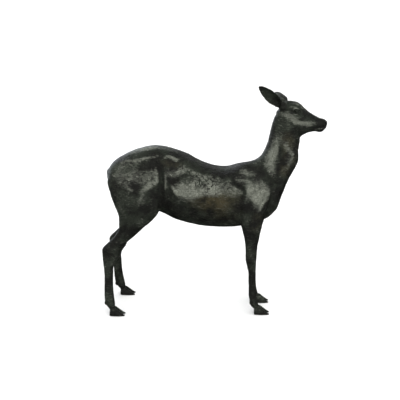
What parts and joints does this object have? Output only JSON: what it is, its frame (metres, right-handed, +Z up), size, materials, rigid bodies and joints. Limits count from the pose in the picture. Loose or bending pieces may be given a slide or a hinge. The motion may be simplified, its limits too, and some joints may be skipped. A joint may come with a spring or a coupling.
{
  "type": "deer sculpture",
  "caption": "Life-size cast-bronze doe standing square on four cloven hooves, head raised, ears turned, body modelled in soft muscle forms with a hand-tooled surface.",
  "frame": {"origin": "on the ground plane under the middle of the overall box", "axes": "+Z up out of the ground, +X the way the deer faces, +Y towards the deer's left side"},
  "size_m": [0.952, 0.25, 1.025],
  "materials": {
    "bronze_patina": "cast bronze with a dark green-brown to black waxed patina, satin, worn paler and greyer on the raised forms, with a fine hand-tooled, hair-like texture"
  },
  "bodies": {
    "root": {"bronze_deer": "bronze_patina"}
  },
  "joints": []
}
